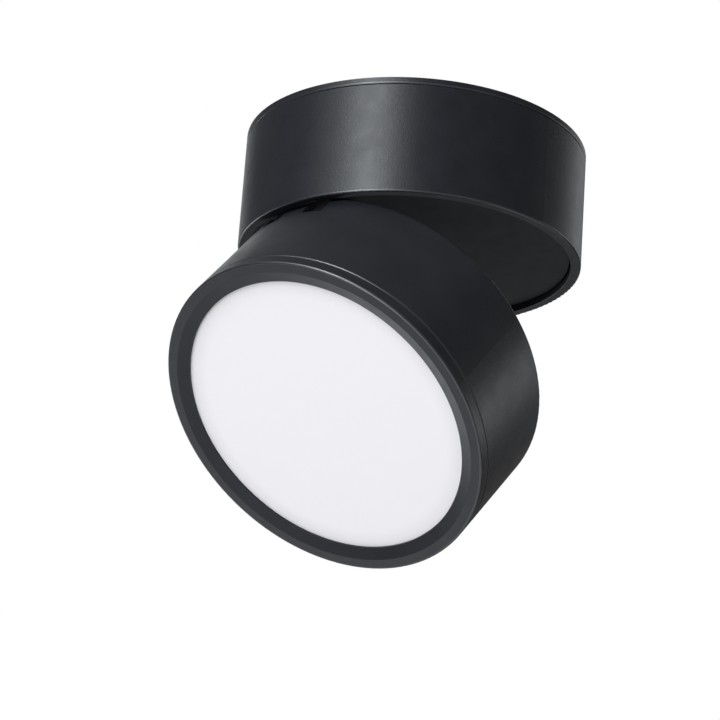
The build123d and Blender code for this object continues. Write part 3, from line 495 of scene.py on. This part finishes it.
# ---- settings ----
class SpotlightFinishSettings(bpy.types.PropertyGroup):
    """Colours of the finishes, and how the satin coat is grained"""
    coat_colour: bpy.props.FloatVectorProperty(
        name="Coat colour", description="Satin coat of the base, head, bezel and ceiling plate",
        subtype="COLOR", min=0.0, max=1.0, default=linear("#14161b")[:3])
    coat_roughness: bpy.props.FloatProperty(
        name="Coat roughness", description="Low is glossy, high is matt", default=0.38, min=0.05, max=0.95,
        subtype="FACTOR")
    coat_grain: bpy.props.FloatProperty(
        name="Coat grain", description="Size of the grain as drawn", default=0.5 * MM, min=0.05 * MM,
        precision=5, unit="LENGTH")
    turntable_colour: bpy.props.FloatVectorProperty(
        name="Turntable colour", description="Matt coat of the recessed plate", subtype="COLOR",
        min=0.0, max=1.0, default=linear("#181b1f")[:3])
    # Painted shade: the bracket's paint is darker than the coat, so that it stands in for the shade in the
    # hinge pockets.
    bracket_painted_shade_colour: bpy.props.FloatVectorProperty(
        name="Bracket colour", description="Paint of the hinge bracket", subtype="COLOR",
        min=0.0, max=1.0, default=linear("#0a0a0c")[:3])
    diffuser_colour: bpy.props.FloatVectorProperty(
        name="Diffuser colour", description="Opal sheet at the front", subtype="COLOR",
        min=0.0, max=1.0, default=linear("#eeeaec")[:3])


class SpotlightStageSettings(bpy.types.PropertyGroup):
    """Camera, lamps and floor"""
    camera_distance: bpy.props.FloatProperty(
        name="Camera distance", description="From the middle of the base's lower rim to the camera",
        default=0.907, min=0.3, unit="LENGTH")
    camera_azimuth: bpy.props.FloatProperty(
        name="Camera azimuth", description="Round the object from the hinge side",
        default=math.radians(42.43), subtype="ANGLE")
    camera_elevation: bpy.props.FloatProperty(
        name="Camera elevation", description="Below the horizon when negative",
        default=math.radians(-22.587), subtype="ANGLE")
    camera_pan: bpy.props.FloatProperty(
        name="Camera pan", description="Turn to the left, away from the middle of the base",
        default=math.radians(0.7753), subtype="ANGLE")
    camera_drop: bpy.props.FloatProperty(
        name="Camera drop", description="Turn downwards, away from the middle of the base",
        default=math.radians(1.8697), subtype="ANGLE")
    camera_roll: bpy.props.FloatProperty(
        name="Camera roll", description="Lean of the camera", default=math.radians(3.826), subtype="ANGLE")
    lens: bpy.props.FloatProperty(name="Lens", description="Focal length on a 36 mm wide sensor",
                                  default=155.72, subtype="DISTANCE_CAMERA")
    lamp_colour: bpy.props.FloatVectorProperty(
        name="Lamp colour", description="Faintly blue, as daylight tubes are", subtype="COLOR",
        min=0.0, max=1.0, default=linear("#f6fbff")[:3])
    lamp_strength: bpy.props.FloatProperty(name="Lamp strength", description="Scales every lamp",
                                           default=1.0, min=0.0)
    ambient: bpy.props.FloatProperty(name="Ambient", description="Even light from all round", default=0.24,
                                     min=0.0)
    floor_drop: bpy.props.FloatProperty(name="Floor drop", description="Floor below the mounting face",
                                        default=1.5, unit="LENGTH")


# Soft boxes: name, azimuth from the camera, elevation, width, height and level. A level of 1 is a white
# card. They stand round the object, and all face it.
LAMP_DISTANCE = 1.2
LAMPS = (
    ("key", -30.0, 24.0, 0.42, 0.7, 10.6),
    ("key_low", -32.0, -18.0, 0.42, 1.0, 6.4),
    ("key_wide", -42.0, 24.0, 1.0, 0.8, 1.1),
    ("rear_strip", 109.0, 6.0, 0.44, 0.4, 1.96),
    ("rear", 140.0, 28.0, 0.6, 0.7, 0.7),
    ("rear_left", -162.0, 24.0, 0.5, 0.7, 0.72),
    ("low_side", -110.0, -46.0, 0.8, 0.7, 0.82),
    ("low_back", -140.0, -22.0, 0.6, 0.5, 2.56),
    ("behind", 180.0, -26.0, 0.8, 0.4, 0.44),
)

# A tent of black net round the object, which only reflections show, so that a black coat stays black
# under a white sky. Each side: name, azimuth from the camera, middle above the object, height, and the
# share of the light that comes through.
NET_DISTANCE = 1.6
NETS = (
    ("net_front", 0.0, 0.8, 1.6, 0.184),
    ("net_front_low", 0.0, -0.7, 1.4, 0.32),
    ("net_right", 90.0, 0.8, 1.6, 0.184),
    ("net_right_low", 90.0, -0.7, 1.4, 0.024),
    ("net_behind", 180.0, 0.8, 1.6, 0.184),
    ("net_behind_low", 180.0, -0.7, 1.4, 0.024),
    ("net_left", -90.0, 0.8, 1.6, 0.184),
    ("net_left_low", -90.0, -0.7, 1.4, 0.024),
)
NET_TOP = 0.3

# The floor fades out far from the object. Where it is seen, also in reflections or through glass, a
# share of it glows, so that it stays pale in views from above and still holds the object's shadow.
FLOOR_RADIUS = 6.5
FLOOR_GLOW = 0.6
FLOOR_FADE_START = 3.5
FLOOR_FADE_END = 6.0


def place_round(azimuth, elevation, distance, middle):
    """A point round the object, at an azimuth from its hinge side."""
    level = math.cos(elevation)
    return middle + distance * Vector((math.sin(azimuth) * level, -math.cos(azimuth) * level,
                                       math.sin(elevation)))


def facing(place, target):
    """A matrix at a place whose -Z looks at the target."""
    turn = (target - place).to_track_quat("-Z", "Y").to_matrix().to_4x4()
    return Matrix.Translation(place) @ turn


class SPOTLIGHT_OT_stage(bpy.types.Operator):
    """Set up the camera, the lamps, the floor and the background"""
    bl_idname = "spotlight.stage"
    bl_label = "Stage"

    def execute(self, context):
        settings = context.scene.spotlight_stage
        rim_middle = Vector((0, 0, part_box("base_shell")[0][2]))
        self.make_camera(context, settings, rim_middle)
        middle = (Vector(cad_box[0]) + Vector(cad_box[1])) / 2
        for name, azimuth, elevation, width, height, level in LAMPS:
            azimuth = settings.camera_azimuth + math.radians(azimuth)
            place = place_round(azimuth, math.radians(elevation), LAMP_DISTANCE, middle)
            lamp = self.make_lamp(context, name, facing(place, middle), width, height)
            lamp.color = settings.lamp_colour
            lamp.energy = settings.lamp_strength * level * math.pi * width * height
        for name, azimuth, lift, height, open_share in NETS:
            azimuth = settings.camera_azimuth + math.radians(azimuth)
            centre = place_round(azimuth, 0.0, NET_DISTANCE, middle) + Vector((0, 0, lift))
            along = Vector((math.cos(azimuth), math.sin(azimuth), 0))
            self.make_net(context, name, centre, along * NET_DISTANCE, Vector((0, 0, height / 2)), open_share)
        self.make_net(context, "net_top", middle + Vector((0, 0, NET_DISTANCE)),
                      Vector((NET_DISTANCE, 0, 0)), Vector((0, NET_DISTANCE, 0)), NET_TOP)
        self.make_floor(context, settings)
        self.make_world(context, settings)
        context.scene.view_settings.view_transform = "Standard"
        return {"FINISHED"}

    def make_camera(self, context, settings, target):
        camera = bpy.data.objects.new("camera", bpy.data.cameras.new("camera"))
        context.scene.collection.objects.link(camera)
        camera.data.sensor_width = 36.0
        camera.data.lens = settings.lens
        camera.data.clip_start = 0.05
        place = place_round(settings.camera_azimuth, settings.camera_elevation, settings.camera_distance,
                            target)
        pan = Matrix.Rotation(settings.camera_pan, 4, "Y")
        drop = Matrix.Rotation(-settings.camera_drop, 4, "X")
        roll = Matrix.Rotation(settings.camera_roll, 4, "Z")
        camera.matrix_world = facing(place, target) @ pan @ drop @ roll
        context.scene.camera = camera

    def make_lamp(self, context, name, matrix, width, height):
        lamp = bpy.data.lights.new(name, "AREA")
        lamp.shape = "RECTANGLE"
        lamp.size = width
        lamp.size_y = height
        holder = bpy.data.objects.new(name, lamp)
        holder.matrix_world = matrix
        context.scene.collection.objects.link(holder)
        return lamp

    def make_net(self, context, name, centre, across, up, open_share):
        corners = [centre - across - up, centre + across - up, centre + across + up, centre - across + up]
        mesh = bpy.data.meshes.new(name)
        mesh.from_pydata(corners, [], [(0, 1, 2, 3)])
        net = bpy.data.objects.new(name, mesh)
        net.visible_camera = False
        net.visible_shadow = False
        net.visible_diffuse = False
        material = bpy.data.materials.new(name)
        material.use_nodes = True
        open_weave = add_node(material, "ShaderNodeBsdfTransparent",
                              values={"Color": (open_share, open_share, open_share, 1.0)})
        surface = material.node_tree.nodes["Material Output"].inputs["Surface"]
        material.node_tree.links.new(open_weave.outputs["BSDF"], surface)
        mesh.materials.append(material)
        context.scene.collection.objects.link(net)

    def make_floor(self, context, settings):
        bpy.ops.mesh.primitive_circle_add(vertices=96, radius=FLOOR_RADIUS, fill_type="NGON",
                                          location=(0, 0, -settings.floor_drop))
        floor = context.active_object
        floor.name = "floor"
        material, shader, place = new_material("pale_painted_board", Roughness=0.8, Specular_IOR_Level=0.2)
        tint(material, shader, grains(material, place, 0.4, 3.0), "#e9e9ea", "#ededee")
        far = add_node(material, "ShaderNodeVectorMath", {"operation": "LENGTH"},
                       links={0: place}).outputs["Value"]
        fade = add_node(material, "ShaderNodeMapRange", {"interpolation_type": "SMOOTHSTEP"},
                        {"From Min": FLOOR_FADE_START, "From Max": FLOOR_FADE_END}, {"Value": far})
        glow = add_node(material, "ShaderNodeEmission", values={"Color": linear("#ffffff"), "Strength": 1.0})
        share = add_node(material, "ShaderNodeMath", {"operation": "MULTIPLY"}, {1: FLOOR_GLOW},
                         {0: seen_directly(material)}).outputs["Value"]
        pale = add_node(material, "ShaderNodeMixShader",
                        links={0: share, 1: shader.outputs["BSDF"], 2: glow.outputs["Emission"]})
        clear = add_node(material, "ShaderNodeBsdfTransparent")
        mix = add_node(material, "ShaderNodeMixShader", links={0: fade.outputs["Result"],
                       1: pale.outputs["Shader"], 2: clear.outputs["BSDF"]})
        surface = material.node_tree.nodes["Material Output"].inputs["Surface"]
        material.node_tree.links.new(mix.outputs["Shader"], surface)
        floor.data.materials.append(material)

    def make_world(self, context, settings):
        world = bpy.data.worlds.new("studio")
        context.scene.world = world
        world.use_nodes = True
        output = world.node_tree.nodes["World Output"]
        around = world.node_tree.nodes["Background"]
        around.inputs["Color"].default_value = linear("#ffffff")
        around.inputs["Strength"].default_value = settings.ambient
        white = add_node(world, "ShaderNodeBackground", values={"Color": linear("#ffffff"), "Strength": 1.0})
        mix = add_node(world, "ShaderNodeMixShader",
                       links={0: seen_directly(world), 1: around.outputs["Background"],
                              2: white.outputs["Background"]})
        world.node_tree.links.new(mix.outputs["Shader"], output.inputs["Surface"])


class SPOTLIGHT_OT_housings(bpy.types.Operator):
    """Coat the housings of the base and the head"""
    bl_idname = "spotlight.housings"
    bl_label = "Housings"

    def execute(self, context):
        finish = context.scene.spotlight_finish
        dress(satin_coat(finish, "satin_powder_coat_on_blasted_base", BASE_EDGE), "base_shell")
        dress(satin_coat(finish, "satin_powder_coat_on_blasted_head", HEAD_EDGE, True), "head_shell")
        dress(satin_coat(finish, "satin_powder_coat_on_turned_ring", BEZEL_EDGE, True, 0.35),
              "bezel_ring")
        return {"FINISHED"}


class SPOTLIGHT_OT_ceiling_plate(bpy.types.Operator):
    """Coat the ceiling plate and finish its grommet and lock screw"""
    bl_idname = "spotlight.ceiling_plate"
    bl_label = "Ceiling Plate"

    def execute(self, context):
        dress(satin_coat(context.scene.spotlight_finish, "satin_powder_coat_on_pressed_steel", PLATE_EDGE),
              "ceiling_plate")
        dress(black_rubber(), "cable_grommet")
        dress(black_oxide_steel(), "lock_screw")
        return {"FINISHED"}


class SPOTLIGHT_OT_turntable(bpy.types.Operator):
    """Coat the turntable and the hinge bracket, and finish the hinge's pins and screws"""
    bl_idname = "spotlight.turntable"
    bl_label = "Turntable And Hinge"

    def execute(self, context):
        dress(matt_coat(context.scene.spotlight_finish), "turntable")
        # The hinge bracket's extra dark paint is painted shade.
        dress(matt_paint_and_painted_shade(context.scene.spotlight_finish), "hinge_bracket")
        dress(bpy.data.materials.get("black_oxide_on_machined_steel") or black_oxide_steel(),
              "bracket_screws", "hinge_pins")
        dress(rolled_spring_steel(), "hinge_washers", "disc_spring")
        return {"FINISHED"}


class SPOTLIGHT_OT_swivel_stack(bpy.types.Operator):
    """Finish the stem, nut, stop plate and washers of the swivel, and the plated screws"""
    bl_idname = "spotlight.swivel_stack"
    bl_label = "Swivel Stack"

    def execute(self, context):
        dress(zinc_plated_steel(), "swivel_stem", "stem_nut", "stop_plate", "base_screws", "earth_screw",
              "heat_sink_screws", "led_board_screws")
        dress(acetal(), "glide_ring", "friction_washer")
        return {"FINISHED"}


class SPOTLIGHT_OT_front(bpy.types.Operator):
    """Finish the diffuser, its gasket and the reflector"""
    bl_idname = "spotlight.front"
    bl_label = "Front"

    def execute(self, context):
        dress(opal_acrylic(context.scene.spotlight_finish), "diffuser")
        dress(clear_silicone(), "diffuser_gasket")
        dress(white_polycarbonate(), "reflector")
        return {"FINISHED"}


class SPOTLIGHT_OT_light_engine(bpy.types.Operator):
    """Finish the heat sink, the board and its light-emitting chips"""
    bl_idname = "spotlight.light_engine"
    bl_label = "Light Engine"

    def execute(self, context):
        dress(cast_aluminium(), "heat_sink")
        dress(white_solder_mask(), "led_board")
        dress(phosphor_in_resin(), "led_chips")
        return {"FINISHED"}


class SPOTLIGHT_OT_driver(bpy.types.Operator):
    """Finish the driver, its parts and the terminal block"""
    bl_idname = "spotlight.driver"
    bl_label = "Driver And Terminals"

    def execute(self, context):
        dress(driver_polycarbonate(), "driver_case", "driver_lid")
        dress(green_circuit_board(), "driver_board")
        dress(transformer_tape_and_ferrite(), "driver_transformer")
        dress(capacitor_sleeve_and_can(), "driver_capacitors")
        dress(terminal_polyamide(), "terminal_block")
        dress(turned_brass(), "terminal_screws")
        return {"FINISHED"}


class SPOTLIGHT_OT_leads(bpy.types.Operator):
    """Finish the wires"""
    bl_idname = "spotlight.leads"
    bl_label = "Leads"

    def execute(self, context):
        dress(mains_insulation(), "mains_leads")
        dress(earth_insulation(), "earth_lead")
        dress(silicone_sleeve(), "lead_in_base")
        dress(black_silicone_sleeve(), "lead_in_swivel", "lead_in_head")
        return {"FINISHED"}


PIECES = (SPOTLIGHT_OT_housings, SPOTLIGHT_OT_ceiling_plate, SPOTLIGHT_OT_turntable,
          SPOTLIGHT_OT_swivel_stack, SPOTLIGHT_OT_front, SPOTLIGHT_OT_light_engine, SPOTLIGHT_OT_driver,
          SPOTLIGHT_OT_leads, SPOTLIGHT_OT_stage)


class SPOTLIGHT_PT_panel(bpy.types.Panel):
    bl_idname = "SPOTLIGHT_PT_panel"
    bl_label = "Ceiling Spotlight"
    bl_space_type = "VIEW_3D"
    bl_region_type = "UI"
    bl_category = "Spotlight"

    def draw(self, context):
        for settings in (context.scene.spotlight_finish, context.scene.spotlight_stage):
            for name in settings.__annotations__:
                self.layout.prop(settings, name)
        for piece in PIECES:
            self.layout.operator(piece.bl_idname)


CLASSES = (SpotlightFinishSettings, SpotlightStageSettings, *PIECES, SPOTLIGHT_PT_panel)


def register():
    for cls in CLASSES:
        bpy.utils.register_class(cls)
    bpy.types.Scene.spotlight_finish = bpy.props.PointerProperty(type=SpotlightFinishSettings)
    bpy.types.Scene.spotlight_stage = bpy.props.PointerProperty(type=SpotlightStageSettings)


def unregister():
    del bpy.types.Scene.spotlight_stage
    del bpy.types.Scene.spotlight_finish
    for cls in reversed(CLASSES):
        bpy.utils.unregister_class(cls)


def main():
    register()
    for piece in PIECES:
        group, name = piece.bl_idname.split(".")
        getattr(getattr(bpy.ops, group), name)()


if __name__ == "__main__":
    main()
